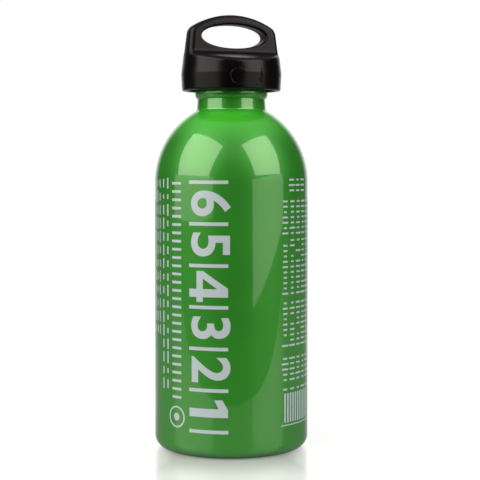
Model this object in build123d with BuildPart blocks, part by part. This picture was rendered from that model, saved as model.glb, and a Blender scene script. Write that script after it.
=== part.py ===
"""A 0.6 litre camping fuel bottle with a push-and-turn cap.

The bottle is one aluminium shell with a rolled mouth round a threaded insert. The cap has two halves:
a plug that screws into the neck, and an outer shell with a carrying loop that turns freely on the plug
until it is pressed down against its spring, so that its lugs drop between the plug's teeth.

The bottle's axis is Z, it stands on z = 0, and the loop lies in the XZ plane. Lengths are in millimetres.
"""

import os
from math import cos, pi, sin, sqrt

from build123d import *

# the bottle's shell
body_radius = 36.5
body_height = 126.0
body_wall = 1.0
base_wall = 1.8
corner_radius = 5.7
foot_width = 2.2
foot_edge = 0.8
dome_rise = 5.2
shoulder_arc_radius = 39.0
neck_radius = 16.25
neck_height = 11.4
neck_wall = 1.1
neck_fillet = 1.6
bead_bulge = 1.15
bead_arc_radius = 3.8
bead_flat = 0.4
lip_thickness = 0.8
lip_overhang = 0.65

# the threaded insert inside the neck, its thread drawn at the pitch diameter
insert_wall = 1.45
insert_length = 9.8
insert_chamfer = 0.6
thread_clearance = 0.3

# the plug that closes the neck
gasket_thickness = 1.5
gasket_overhang = 0.35
gasket_edge = 0.35
flange_overhang = 3.2
flange_thickness = 1.9
flange_edge = 0.4
shank_length = 10.1
shank_wall = 2.6
shank_chamfer = 1.0
vent_count = 2
vent_width = 2.6
vent_depth = 1.1
spigot_clearance = 1.55
spigot_height = 2.4
spigot_edge = 0.6

# the clutch between plug and outer shell
tooth_count = 12
tooth_inset = 2.0
tooth_length = 3.4
tooth_height = 2.0
tooth_slope_height = 0.9
tooth_width_share = 0.44
tooth_land_share = 0.4
press_travel = 3.0
press_end_gap = 0.3

# the spring that holds the outer shell up
spring_wire = 0.9
spring_radius = 7.4
spring_turns = 3
spring_space = 7.4
spring_seat_gap = 0.05
spring_ring_clearance = 0.5
spring_ring_wall = 1.2
spring_ring_height = 1.8

# the outer shell: a drum with a carrying loop on top
skirt_overlap = 2.3
skirt_wall = 2.4
skirt_edge = 0.9
crease_height = 7.9
crease_bulge = 0.45
shelf_taper = 0.72
shelf_rise = 3.65
crown_thickness = 1.0
cavity_clearance = 0.4
cavity_fillet = 0.8
snap_overlap = 0.8
snap_height = 1.2
snap_land = 0.4
snap_gap = 0.1
loop_height = 21.8
loop_thickness = 10.6
loop_top_thickness = 7.4
loop_bar = 4.7
loop_post = 5.75
loop_sill = 5.9
loop_root_fillet = 2.2
loop_edge = 2.6
arch_radius = 37.0
arch_corner = 5.0
eye_edge = 1.0

# how far a cutting shape reaches past what it cuts
overrun = 5.0

# radii that follow from the values above
inner_radius = body_radius - body_wall
foot_outer_radius = body_radius - corner_radius
foot_radius = foot_outer_radius - foot_width
shoulder_centre = body_radius - shoulder_arc_radius
inner_arc_radius = shoulder_arc_radius - body_wall
neck_inner_radius = neck_radius - neck_wall
bead_radius = neck_radius + bead_bulge
bead_centre = bead_radius - bead_arc_radius
lip_radius = neck_inner_radius - lip_overhang
insert_bore_radius = neck_inner_radius - insert_wall
thread_radius = insert_bore_radius - thread_clearance
gasket_radius = neck_radius + gasket_overhang
flange_radius = bead_radius + flange_overhang
tooth_inner_radius = flange_radius - tooth_inset - tooth_length
spigot_radius = spring_radius - spring_wire / 2 - spigot_clearance
spring_ring_radius = spring_radius + spring_wire / 2 + spring_ring_clearance
cavity_radius = flange_radius + cavity_clearance
snap_radius = flange_radius - snap_overlap
skirt_radius = cavity_radius + skirt_wall
crease_radius = skirt_radius + crease_bulge
shelf_radius = crease_radius - shelf_taper

# levels, from the base up
shoulder_z = body_height
neck_base_z = shoulder_z + sqrt(shoulder_arc_radius**2 - (neck_radius - shoulder_centre) ** 2)
inner_neck_z = shoulder_z + sqrt(inner_arc_radius**2 - (neck_inner_radius - shoulder_centre) ** 2)
rim_z = neck_base_z + neck_height
bead_z = rim_z + bead_flat - bead_arc_radius
bead_root_z = bead_z - sqrt(bead_arc_radius**2 - (neck_radius - bead_centre) ** 2)
rim_radius = bead_centre + sqrt(bead_arc_radius**2 - (rim_z - bead_z) ** 2)
insert_top_z = rim_z - lip_thickness
flange_z = rim_z + gasket_thickness
flange_top_z = flange_z + flange_thickness
shank_base_z = flange_z - shank_length
lug_tip_z = flange_top_z + press_end_gap + press_travel
spring_base_z = flange_top_z + spring_seat_gap + spring_wire / 2
crown_z = flange_top_z + spring_space
spring_top_z = crown_z - spring_seat_gap - spring_wire / 2
skirt_z = rim_z - skirt_overlap
snap_z = flange_z - snap_gap
crease_z = skirt_z + crease_height
shelf_z = crown_z + crown_thickness
loop_root_z = shelf_z + shelf_rise
loop_top_z = shelf_z + loop_height
loop_lean = (loop_thickness - loop_top_thickness) / 2 / (loop_top_z - loop_root_z)
cone_slope = shelf_taper / (shelf_z - crease_z)
cone_top_z = loop_top_z + overrun
cone_top_radius = shelf_radius - cone_slope * (cone_top_z - shelf_z)

# the eye is what the loop's bar, posts and sill leave open
eye_half_height = (loop_height - loop_bar - loop_sill) / 2
eye_z = shelf_z + loop_sill + eye_half_height
eye_half_width = shelf_radius - cone_slope * (eye_z - shelf_z) - loop_post

tooth_pitch = 360 / tooth_count
tooth_width = tooth_width_share * 2 * pi * tooth_inner_radius / tooth_count

os.makedirs("parts", exist_ok=True)


def save(part, name):
    part.label = name
    export_step(part, f"parts/{name}.step")


# The shell is turned from one closed outline: outside from the domed base up to the mouth, then inside down.
with BuildPart() as bottle_shell:
    with BuildSketch(Plane.XZ):
        with BuildLine():
            dome = TangentArc((0, dome_rise), (foot_radius, 0), tangent=(1, 0))
            foot = Line(dome @ 1, (foot_outer_radius, 0))
            corner = TangentArc(foot @ 1, (body_radius, corner_radius), tangent=(1, 0))
            side = Line(corner @ 1, (body_radius, shoulder_z))
            shoulder = TangentArc(side @ 1, (neck_radius, neck_base_z), tangent=(0, 1))
            neck = Line(shoulder @ 1, (neck_radius, bead_root_z))
            bead = ThreePointArc(neck @ 1, (bead_radius, bead_z), (rim_radius, rim_z))
            rim = Line(bead @ 1, (lip_radius, rim_z))
            lip = Line(rim @ 1, (lip_radius, insert_top_z))
            ledge = Line(lip @ 1, (neck_inner_radius, insert_top_z))
            bore = Line(ledge @ 1, (neck_inner_radius, inner_neck_z))
            TangentArc((inner_radius, shoulder_z), bore @ 1, tangent=(0, 1))
            inner_corner_z = base_wall + inner_radius - foot_outer_radius
            inner_side = Line((inner_radius, shoulder_z), (inner_radius, inner_corner_z))
            TangentArc((foot_outer_radius, base_wall), inner_side @ 1, tangent=(1, 0))
            inner_foot = Line((foot_outer_radius, base_wall), (foot_radius, base_wall))
            inner_dome = TangentArc((0, dome_rise + base_wall), inner_foot @ 1, tangent=(1, 0))
            Line(inner_dome @ 0, dome @ 0)
        make_face()
    revolve(axis=Axis.Z)
    circles = bottle_shell.edges().filter_by(GeomType.CIRCLE)
    fillet(circles.sort_by_distance((neck_radius, 0, neck_base_z))[0], neck_fillet)
    fillet(circles.sort_by_distance((foot_radius, 0, 0))[0], foot_edge)
save(bottle_shell.part, "bottle_shell")

# The insert fills the neck under the rolled lip.
with BuildPart() as neck_insert:
    with BuildSketch(Plane.XY.offset(insert_top_z)):
        Circle(neck_inner_radius)
        Circle(insert_bore_radius, mode=Mode.SUBTRACT)
    extrude(amount=-insert_length)
    chamfer(neck_insert.edges().filter_by(GeomType.CIRCLE).sort_by(SortBy.RADIUS)[:2], insert_chamfer)
save(neck_insert.part, "neck_insert")

# A flat rubber ring seals between the mouth and the plug's flange.
with BuildPart() as plug_gasket:
    with BuildSketch(Plane.XY.offset(rim_z)):
        Circle(gasket_radius)
        Circle(insert_bore_radius, mode=Mode.SUBTRACT)
    extrude(amount=gasket_thickness)
    fillet(plug_gasket.edges().filter_by(GeomType.CIRCLE).sort_by(SortBy.RADIUS)[-2:], gasket_edge)
save(plug_gasket.part, "plug_gasket")


def tooth_outline(height):
    """A clutch tooth seen along the radius: upright sides, and a tip that slopes away on one side."""
    half = tooth_width / 2
    land = tooth_land_share * tooth_width
    return [(-half, 0), (half, 0), (half, height), (half - land, height), (-half, height - tooth_slope_height)]


with BuildPart() as plug_tooth:
    with BuildSketch(Plane((tooth_inner_radius, 0, flange_top_z), x_dir=(0, 1, 0), z_dir=(1, 0, 0))):
        with BuildLine():
            Polyline(*tooth_outline(tooth_height), close=True)
        make_face()
    extrude(amount=tooth_length)

with BuildPart() as shell_lug:
    with BuildSketch(Plane((tooth_inner_radius, 0, crown_z), x_dir=(0, -1, 0), z_dir=(1, 0, 0))):
        with BuildLine():
            Polyline(*tooth_outline(crown_z - lug_tip_z), close=True)
        make_face()
    extrude(amount=tooth_length)

# The plug: a flange with a ring of teeth on top, and a hollow shank with two vent grooves below.
with BuildPart() as threaded_plug:
    with BuildSketch(Plane.XY.offset(shank_base_z)):
        Circle(thread_radius)
    extrude(amount=shank_length)
    chamfer(threaded_plug.faces().sort_by(Axis.Z)[0].edges(), shank_chamfer)
    with BuildSketch(Plane.XY.offset(flange_z)):
        Circle(flange_radius)
    extrude(amount=flange_thickness)
    fillet(threaded_plug.edges().filter_by(GeomType.CIRCLE).sort_by(SortBy.RADIUS)[-2:], flange_edge)
    with BuildSketch(Plane.XY.offset(flange_top_z)):
        Circle(spigot_radius)
    extrude(amount=spigot_height)
    fillet(threaded_plug.faces().sort_by(Axis.Z)[-1].edges(), spigot_edge)
    with BuildSketch(Plane.XY.offset(shank_base_z)):
        Circle(thread_radius - shank_wall)
        with PolarLocations(thread_radius, vent_count):
            Rectangle(2 * vent_depth, vent_width)
    extrude(amount=shank_length, mode=Mode.SUBTRACT)
    with PolarLocations(0, tooth_count):
        add(plug_tooth.part)
save(threaded_plug.part, "threaded_plug")


def helix_point(turns):
    """A point on the spring's centre line, this many turns up from its lower end."""
    angle = 2 * pi * turns
    height = spring_base_z + (spring_top_z - spring_base_z) * turns / spring_turns
    return Vector(spring_radius * cos(angle), spring_radius * sin(angle), height)


def helix_direction(turns):
    """The direction of the spring's centre line at that point."""
    angle = 2 * pi * turns
    climb = (spring_top_z - spring_base_z) / (2 * pi * spring_turns)
    return Vector(-spring_radius * sin(angle), spring_radius * cos(angle), climb).normalized()


def biarc(start, start_direction, end, end_direction):
    """Two arcs that leave one point and reach another in the given directions, and join smoothly."""
    reach = end - start
    both = start_direction + end_direction
    spread = 2 * (1 - start_direction.dot(end_direction))
    ahead = reach.dot(both)
    length = (sqrt(ahead**2 + spread * reach.dot(reach)) - ahead) / spread
    middle = (start + end + (start_direction - end_direction) * length) / 2
    first = TangentArc(start, middle, tangent=start_direction)
    second = TangentArc(middle, end, tangent=reach - both * length)
    return [first, second]


# The spring is one open coil, each quarter turn two arcs.
with BuildPart() as return_spring:
    with BuildLine() as coil:
        for quarter in range(4 * spring_turns):
            here, there = quarter / 4, (quarter + 1) / 4
            add(biarc(helix_point(here), helix_direction(here), helix_point(there), helix_direction(there)))
    with BuildSketch(Plane(helix_point(0), z_dir=helix_direction(0))):
        Circle(spring_wire / 2)
    sweep(path=coil.line)
save(return_spring.part, "return_spring")

# The coil's least gap to itself, over points more than half a turn apart.
steps_per_turn = 48
coil_points = [helix_point(step / steps_per_turn) for step in range(steps_per_turn * spring_turns + 1)]
least_gap = min(
    (far - near).length - spring_wire
    for index, near in enumerate(coil_points)
    for far in coil_points[index + steps_per_turn // 2 :]
)
print(f"return_spring: least gap between turns {least_gap:.2f} mm")

# The outer shell starts as a solid drum whose cone runs on upwards; the loop is what is left of the cone
# once its sides are cut away down to two shelves, which slope up to the loop. The loop thins upwards.
with BuildPart() as cap_shell:
    with BuildSketch(Plane.YZ):
        with BuildLine():
            Polyline(
                (0, skirt_z),
                (skirt_radius, skirt_z),
                (crease_radius, crease_z),
                (cone_top_radius, cone_top_z),
                (0, cone_top_z),
                close=True,
            )
        make_face()
    revolve(axis=Axis.Z)
    with BuildSketch(Plane.YZ.offset(-crease_radius)):
        with BuildLine():
            Polyline(
                (loop_thickness / 2, loop_root_z),
                (2 * shelf_radius - loop_thickness / 2, shelf_z - shelf_rise),
                (2 * shelf_radius - loop_thickness / 2, cone_top_z),
                (loop_top_thickness / 2 - loop_lean * overrun, cone_top_z),
                close=True,
            )
        make_face()
        mirror(about=Plane.YZ)
    extrude(amount=2 * crease_radius, mode=Mode.SUBTRACT)
    with BuildSketch(Plane.XZ.offset(-loop_thickness)):
        with Locations((0, shelf_z)):
            Rectangle(2 * crease_radius, cone_top_z - shelf_z, align=(Align.CENTER, Align.MIN))
        with Locations((0, loop_top_z - arch_radius)):
            Circle(arch_radius, mode=Mode.SUBTRACT)
    extrude(amount=2 * loop_thickness, mode=Mode.SUBTRACT)
    fillet(cap_shell.edges().filter_by(Axis.X), loop_root_fillet)
    arch_ends = cap_shell.edges().filter_by(GeomType.BSPLINE).sort_by(SortBy.LENGTH)[-2:]
    fillet(arch_ends, arch_corner)
    slopes = cap_shell.faces().filter_by(GeomType.PLANE).filter_by(Axis.Z, reverse=True)
    shelves = slopes.group_by(Axis.Z)[0]
    fillet(shelves.edges().filter_by(GeomType.LINE, reverse=True), loop_edge)
    with BuildSketch(Plane.XZ.offset(-loop_thickness)):
        with Locations((0, eye_z)):
            Ellipse(eye_half_width, eye_half_height)
    extrude(amount=2 * loop_thickness, mode=Mode.SUBTRACT)
    eye_rims = cap_shell.edges().filter_by(lambda edge: edge.is_closed).group_by(Axis.Z)[-1]
    fillet(eye_rims, eye_edge)
    with BuildSketch(Plane.XY.offset(skirt_z)):
        Circle(cavity_radius)
    extrude(amount=crown_z - skirt_z, mode=Mode.SUBTRACT)
    rim, crown = cap_shell.faces().filter_by(Axis.Z).group_by(Axis.Z)[:2]
    fillet(rim.edges(), skirt_edge)
    fillet(crown.edges(), cavity_fillet)
    with BuildSketch(Plane.XZ):
        with BuildLine():
            Polyline(
                (cavity_radius, snap_z),
                (snap_radius, snap_z),
                (snap_radius, snap_z - snap_land),
                (cavity_radius, snap_z - snap_height),
                close=True,
            )
        make_face()
    revolve(axis=Axis.Z)
    with BuildSketch(Plane.XY.offset(crown_z)):
        Circle(spring_ring_radius + spring_ring_wall)
        Circle(spring_ring_radius, mode=Mode.SUBTRACT)
    extrude(amount=-spring_ring_height)
    with PolarLocations(0, tooth_count, start_angle=tooth_pitch / 2):
        add(shell_lug.part)
save(cap_shell.part, "cap_shell")
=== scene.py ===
import math

import bmesh
import bpy
from bpy.props import FloatProperty, FloatVectorProperty, IntProperty, PointerProperty
from mathutils import Matrix, Vector


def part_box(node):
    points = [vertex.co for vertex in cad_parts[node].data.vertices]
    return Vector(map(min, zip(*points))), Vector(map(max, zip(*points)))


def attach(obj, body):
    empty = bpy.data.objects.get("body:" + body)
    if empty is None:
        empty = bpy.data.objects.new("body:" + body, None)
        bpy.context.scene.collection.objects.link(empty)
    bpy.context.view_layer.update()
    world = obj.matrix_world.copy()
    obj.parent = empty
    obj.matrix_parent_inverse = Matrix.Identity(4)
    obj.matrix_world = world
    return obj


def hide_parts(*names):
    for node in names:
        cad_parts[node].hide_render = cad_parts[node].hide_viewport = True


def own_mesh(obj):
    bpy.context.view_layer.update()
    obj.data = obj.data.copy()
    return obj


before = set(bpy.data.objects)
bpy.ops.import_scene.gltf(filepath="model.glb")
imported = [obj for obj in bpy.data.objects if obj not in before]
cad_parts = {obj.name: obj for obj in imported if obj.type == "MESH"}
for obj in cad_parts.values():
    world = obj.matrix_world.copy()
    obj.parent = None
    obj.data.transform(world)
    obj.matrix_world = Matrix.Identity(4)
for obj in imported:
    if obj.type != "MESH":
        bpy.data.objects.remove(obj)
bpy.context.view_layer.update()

bl_info = {
    "name": "Camping Fuel Bottle",
    "version": (1, 0, 0),
    "blender": (4, 5, 0),
    "location": "3D View > Sidebar > Fuel Bottle",
    "description": (
        "Dresses the packed fuel bottle: lacquered shell, screw threads, clutch teeth, level print and studio"
    ),
    "category": "Object",
}

MM = 0.001
SHELL_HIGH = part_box("bottle_shell")[1]
PLUG_LOW, PLUG_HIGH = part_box("threaded_plug")

# Points this near are one point: within a mesh, where two meshes meet, along a profile, and at a profile's ends.
WELD = 0.0005 * MM
SEAM = 0.002 * MM
NEAREST = 0.004 * MM
CLOSING = 0.01 * MM

# Flat shapes are cut into strips this wide before they are bent; points this near a cut lie on it.
STRIP = 0.8 * MM
ON_CUT = 0.0001 * MM

# Edges past this angle stay sharp.
SHARP = math.radians(32.0)


def length(name, description, default):
    return FloatProperty(
        name=name, description=description, default=default, unit="LENGTH", subtype="DISTANCE", precision=5
    )


def turn(name, description, degrees):
    angle = math.radians(degrees)
    return FloatProperty(name=name, description=description, default=angle, unit="ROTATION", subtype="ANGLE")


def amount(name, description, default, least=0.0):
    return FloatProperty(name=name, description=description, default=default, min=least)


def number(name, description, default, least=0):
    return IntProperty(name=name, description=description, default=default, min=least)


def colour(name, description, default):
    return FloatVectorProperty(
        name=name, description=description, default=default, size=3, min=0.0, max=1.0, subtype="COLOR"
    )


class FuelBottleShellSizes(bpy.types.PropertyGroup):
    lacquer_radius: length("Body Radius", "Outside radius of the lacquered body", 36.46 * MM)
    corner_radius: length("Base Corner", "Radius between the side and the foot ring", 5.66 * MM)
    foot_inner: length("Foot Inner Radius", "Where the foot ring meets the base dome", 28.6 * MM)
    foot_edge: length("Foot Edge", "Width of the foot ring's eased inner edge", 0.2 * MM)
    dome_rise: length("Base Dome Rise", "Height of the base dome's middle above the foot", 5.2 * MM)
    shoulder_level: length("Shoulder Level", "Height where the straight side ends", 126.0 * MM)
    shoulder_radius: length("Shoulder Radius", "Radius of the domed shoulder", 39.0 * MM)
    neck_radius: length("Neck Radius", "Outside radius of the neck", 16.25 * MM)
    neck_draft: length("Neck Draft", "How far the neck leans in on each side of its middle", 0.15 * MM)
    neck_fillet: length("Neck Fillet", "Hollow radius where shoulder and neck meet", 1.6 * MM)
    bead_radius: length("Bead Radius", "Radius of the rolled bead's round", 3.8 * MM)
    bead_middle: length("Bead Middle", "Distance of the bead's middle from the axis", 13.6 * MM)
    bead_level: length("Bead Level", "Height of the bead's middle", 168.197 * MM)
    rim_level: length("Rim Level", "Height of the mouth's rim", SHELL_HIGH.z)
    mouth_radius: length("Mouth Radius", "Inside radius of the rolled lip", 14.5 * MM)
    lip_edge: length("Lip Edge", "Radius of the rolled lip's inner edge", 0.25 * MM)
    lip_depth: length("Lip Depth", "Height of the lip over the insert", 0.8 * MM)
    bore_radius: length("Neck Bore", "Inside radius of the neck below the lip", 15.15 * MM)
    wall: length("Wall", "Thickness of the drawn aluminium", 1.0 * MM)
    base_wall: length("Base Wall", "Thickness of the base", 1.8 * MM)
    segments: number("Segments", "Faces round the bottle", 256, 24)


class FuelBottleThreadSizes(bpy.types.PropertyGroup):
    segments: number("Segments", "Faces round the insert and the plug", 192, 24)
    lead: length("Lead", "Rise of the thread in one turn", 3.0 * MM)
    start_angle: turn("Start Direction", "Direction where the insert's thread starts", math.degrees(0.6))
    run_out: amount("Run Out", "Turns over which a thread fades out at its ends", 0.16)
    insert_outer: length("Insert Outer Radius", "Outside radius of the neck insert", 15.14 * MM)
    insert_root: length("Insert Root", "Radius at the bottom of the insert's thread", 14.35 * MM)
    insert_depth: length("Insert Thread Depth", "How far the insert's thread stands inwards", 0.95 * MM)
    insert_root_width: length("Insert Thread Foot", "Width of the insert's thread at its foot", 1.62 * MM)
    insert_crest_width: length("Insert Thread Crest", "Width of the insert's thread at its crest", 0.5 * MM)
    insert_inset: length("Insert Thread Inset", "Distance of the thread's ends from the insert's ends", 0.95 * MM)
    insert_low: length("Insert Foot", "Lowest level of the insert", 161.0 * MM)
    insert_high: length("Insert Top", "Highest level of the insert", 170.79 * MM)
    insert_edge: length("Insert Edge", "Bevel of the insert's edges", 0.3 * MM)
    insert_steps: number("Insert Thread Steps", "Steps of the insert's thread in one turn", 120, 12)
    shank_core: length("Shank Core", "Radius at the bottom of the plug's thread", 12.75 * MM)
    shank_depth: length("Shank Thread Depth", "How far the plug's thread stands outwards", 1.1 * MM)
    shank_root_width: length("Shank Thread Foot", "Width of the plug's thread at its foot", 1.55 * MM)
    shank_crest_width: length("Shank Thread Crest", "Width of the plug's thread at its crest", 0.45 * MM)
    shank_inset: length("Shank Thread Inset", "Distance of the thread from the shank's lower end", 1.0 * MM)
    shank_steps: number("Shank Thread Steps", "Steps of the plug's thread in one turn", 160, 12)
    shank_relief: length("Shank Relief", "Plain part of the shank below the flange", 1.6 * MM)
    shank_bore: length("Shank Bore", "Inside radius of the hollow plug", 10.8 * MM)
    shank_roof: length("Shank Roof", "Depth of the hollow's roof below the flange's underside", 0.6 * MM)
    vent_width: length("Vent Width", "Width of each pressure vent across the thread", 2.6 * MM)
    flange_radius: length("Flange Radius", "Outside radius of the plug's flange", PLUG_HIGH.x - 0.02 * MM)
    flange_low: length("Flange Underside", "Level of the flange's sealing side", 173.1 * MM)
    flange_high: length("Flange Top", "Level of the flange's upper side", 175.0 * MM)
    plug_edge: length("Plug Edge", "Rounding of the plug's edges", 0.4 * MM)
    spigot_radius: length("Spigot Radius", "Radius of the spigot inside the spring", 5.4 * MM)
    spigot_edge: length("Spigot Edge", "Rounding of the spigot's top", 0.6 * MM)
    tooth_count: number("Clutch Teeth", "Teeth round the plug's flange", 12, 3)
    tooth_inner: length("Tooth Inner Radius", "Where a clutch tooth starts", 15.2 * MM)
    tooth_outer: length("Tooth Outer Radius", "Where a clutch tooth ends", 18.6 * MM)
    tooth_width: length("Tooth Width", "Width of a clutch tooth", 3.5 * MM)
    tooth_height: length("Tooth Height", "Height of a clutch tooth", 2.0 * MM)
    tooth_slope: length("Tooth Slope", "Drop of the tooth's tip where lugs slip over it", 0.9 * MM)
    tooth_root: length("Tooth Root", "How far a tooth reaches into the flange", 0.3 * MM)
    tooth_edge: length("Tooth Edge", "Easing of a tooth's edges", 0.22 * MM)


class FuelBottleSpringSizes(bpy.types.PropertyGroup):
    coil_radius: length("Coil Radius", "Radius of the wire's middle line", 7.4 * MM)
    wire: length("Wire", "Thickness of the wire", 0.9 * MM)
    foot: length("Foot", "Lowest level of the spring", 175.05 * MM)
    top: length("Top", "Highest level of the free spring", 182.35 * MM)
    pressed: length("Pressed", "How far the cap presses the spring together", 3.0 * MM)
    turns: amount("Turns", "Turns of the coil", 3.0, 1.0)
    steps: number("Steps", "Steps of the wire in one turn", 64, 12)


class FuelBottlePrintSizes(bpy.types.PropertyGroup):
    ink_lift: length("Ink Lift", "How far the ink stands over the lacquer", 0.03 * MM)
    ink_sink: length("Ink Sink", "How far the ink reaches into the lacquer", 0.03 * MM)
    scale_azimuth: turn("Scale Direction", "Direction of the level scale's middle", -36.4)
    scale_width: length("Scale Width", "Width of the level scale round the body", 18.8 * MM)
    scale_low: length("Scale Foot", "Lowest level of the scale", 13.0 * MM)
    scale_high: length("Scale Top", "Highest level of the scale", 126.5 * MM)
    numeral_height: length("Numeral Height", "Height of the scale's numerals", 18.6 * MM)
    dot_azimuth: turn("Dot Direction", "Direction of the dot and its ring", -63.1)
    dot_level: length("Dot Level", "Height of the dot and its ring", 18.5 * MM)
    dot_radius: length("Dot Radius", "Radius of the dot", 1.8 * MM)
    ring_radius: length("Ring Radius", "Outside radius of the ring", 5.0 * MM)
    ring_line: length("Ring Line", "Width of the ring's line", 0.8 * MM)
    rule_height: length("Rule Height", "Thickness of a fine rule", 0.85 * MM)
    rule_pitch: length("Rule Pitch", "Distance between fine rules", 2.45 * MM)
    seed: number("Seed", "Seed of the rules' uneven lengths", 7)


class FuelBottleMarkSizes(bpy.types.PropertyGroup):
    crease_radius: length("Crease Radius", "Radius of the cap at its crease", 23.85 * MM)
    crease_level: length("Crease Level", "Height of the cap's crease", 177.197 * MM)
    upper_slope: FloatProperty(
        name="Upper Slope", description="Narrowing of the cap above the crease", default=0.1155
    )
    lower_slope: FloatProperty(
        name="Lower Slope", description="Narrowing of the cap below the crease", default=0.057
    )
    raised: length("Raised", "How far the marks stand out of the skirt", 0.45 * MM)
    sunk: length("Sunk", "How far the marks reach into the skirt", 0.3 * MM)
    rounding: length("Rounding", "Radius of the marks' rounded edges", 0.28 * MM)
    line_width: length("Line Width", "Width of the marks' lines", 0.75 * MM)
    mark_size: length("Mark Size", "Height of each mark", 8.0 * MM)
    mark_level: length("Mark Level", "Height of the marks' middle", 175.1 * MM)
    turn_azimuth: turn("Turn Mark Direction", "Direction of the turning arrow", -11.4)
    push_azimuth: turn("Push Mark Direction", "Direction of the pushing arrow", 17.0)


class FuelBottleColours(bpy.types.PropertyGroup):
    lacquer: colour("Lacquer", "Green lacquer over aluminium", (0.033, 0.305, 0.0225))
    lacquer_shade: colour("Lacquer Shade", "Deeper green where the lacquer is thick", (0.0265, 0.265, 0.0185))
    # The brighter green below the neck is a painted highlight standing in for the top light, not thinner lacquer.
    lacquer_painted_highlight: colour(
        "Lacquer Below Neck", "Brighter green where the lacquer is thin below the neck", (0.064, 0.6, 0.032)
    )
    aluminium: colour("Aluminium", "Bare aluminium inside and at the worn foot", (0.75, 0.76, 0.77))
    ink: colour("Ink", "Pale silver print", (0.57, 0.63, 0.74))
    cap: colour("Cap Plastic", "Black moulded plastic of the cap", (0.0022, 0.0016, 0.0018))
    plug: colour("Plug Plastic", "Black moulded plastic of the plug", (0.02, 0.02, 0.021))
    rubber: colour("Rubber", "Seal rubber", (0.025, 0.025, 0.028))
    spring: colour("Spring Steel", "Bright drawn wire", (0.6, 0.6, 0.6))
    floor: colour("Floor", "Pale studio floor", (0.37, 0.375, 0.38))


class FuelBottleStudio(bpy.types.PropertyGroup):
    camera_azimuth: turn("Camera Direction", "Direction from which the camera looks", -19.4)
    camera_distance: length("Camera Distance", "Distance of the camera from the bottle's axis", 640.0 * MM)
    camera_level: length("Camera Level", "Height of the camera", 135.4 * MM)
    camera_tilt: turn("Camera Tilt", "How far the camera looks down", 2.04)
    camera_yaw: turn("Camera Yaw", "How far the camera looks to the right of the axis", 0.37)
    lens: FloatProperty(
        name="Lens", description="Focal length on a 36 mm sensor", default=100.55, min=10.0, unit="CAMERA"
    )
    shift_y: FloatProperty(name="Shift", description="Camera shift for the framing", default=-0.062)
    box_level: amount("Soft Box Level", "Radiance of the two large soft boxes", 3.4)
    skirt_level: amount("Soft Box Skirt Level", "Radiance of the dim lower part of the soft boxes", 1.25)
    box_tint: colour("Soft Box Tint", "Colour of the soft boxes' cloth", (1.0, 1.0, 0.84))
    front_level: amount("Front Level", "Radiance of the dark room behind the camera", 0.02)
    top_level: amount("Ceiling Level", "Radiance of the bright ceiling", 0.4)
    floor_lift: amount("Floor Lift", "Light that the open floor adds for the camera", 0.5)
    # The glow kept close to the bottle is lower, which makes a painted shadow there.
    floor_shade: amount("Floor Shade", "What is left of that light close to the bottle", 0.2)
    floor_glow: amount("Floor Glow", "Share of that light that reflections see", 0.1)
    floor_front: length("Floor Front", "Where the floor ends towards the camera", 175.0 * MM)
    floor_reach: length("Floor Reach", "Where the floor ends at the sides and behind", 4000.0 * MM)
    floor_thickness: length("Floor Thickness", "Thickness of the floor sheet", 4.0 * MM)


GROUPS = {
    "fuel_bottle_shell": FuelBottleShellSizes,
    "fuel_bottle_threads": FuelBottleThreadSizes,
    "fuel_bottle_spring": FuelBottleSpringSizes,
    "fuel_bottle_print": FuelBottlePrintSizes,
    "fuel_bottle_marks": FuelBottleMarkSizes,
    "fuel_bottle_colours": FuelBottleColours,
    "fuel_bottle_studio": FuelBottleStudio,
}


class Wire:
    """A node's output. Arithmetic on it adds Math nodes to its tree."""

    def __init__(self, tree, socket):
        self.tree, self.socket = tree, socket

    def math(self, operation, *others, clamp=False):
        terms = dict(enumerate((self, *others)))
        return wire(self.tree, "ShaderNodeMath", terms, operation=operation, use_clamp=clamp)

    def __add__(self, other):
        return self.math("ADD", other)

    def __sub__(self, other):
        return self.math("SUBTRACT", other)

    def __mul__(self, other):
        return self.math("MULTIPLY", other)

    def __truediv__(self, other):
        return self.math("DIVIDE", other)


def put(tree, kind, inputs=None, **settings):
    """Adds a node, sets its settings, and links or sets its inputs."""
    node = tree.nodes.new(kind)
    for name, value in settings.items():
        setattr(node, name, value)
    for key, value in (inputs or {}).items():
        if isinstance(value, Wire):
            tree.links.new(value.socket, node.inputs[key])
        else:
            node.inputs[key].default_value = value
    return node


def wire(tree, kind, inputs=None, output=0, **settings):
    """Adds a node and gives one of its outputs."""
    return Wire(tree, put(tree, kind, inputs, **settings).outputs[output])


def split(vector):
    """The three parts of a vector."""
    node = put(vector.tree, "ShaderNodeSeparateXYZ", {0: vector})
    return [Wire(vector.tree, output) for output in node.outputs]


def ramp(value, low, high, start=0.0, end=1.0):
    """Maps a value smoothly from low..high to start..end, held outside."""
    inputs = {"Value": value, "From Min": low, "From Max": high, "To Min": start, "To Max": end}
    return wire(value.tree, "ShaderNodeMapRange", inputs, interpolation_type="SMOOTHSTEP")


def blend(share, first, second):
    """Goes from the first colour to the second with the share."""
    return wire(share.tree, "ShaderNodeMix", {0: share, 6: first, 7: second}, output=2, data_type="RGBA")


def shade(plain, factor=1.0, lift=0.0):
    """A colour for a socket, made darker or lighter."""
    return (*(part * factor + lift for part in plain), 1.0)


def noise(place, scale, detail, roughness, stretch=None):
    if stretch:
        place = wire(place.tree, "ShaderNodeMapping", {"Vector": place, "Scale": stretch})
    inputs = {"Vector": place, "Scale": scale, "Detail": detail, "Roughness": roughness}
    return wire(place.tree, "ShaderNodeTexNoise", inputs)


def bump(height, strength, distance, over=None):
    """Bends the normal by a height, over one that is bent already."""
    inputs = {"Height": height, "Strength": strength, "Distance": distance}
    if over:
        inputs["Normal"] = over
    return wire(height.tree, "ShaderNodeBump", inputs)


def object_place(tree):
    return wire(tree, "ShaderNodeTexCoord", output="Object")


def ray(tree, kind):
    return wire(tree, "ShaderNodeLightPath", output=kind)


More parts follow.
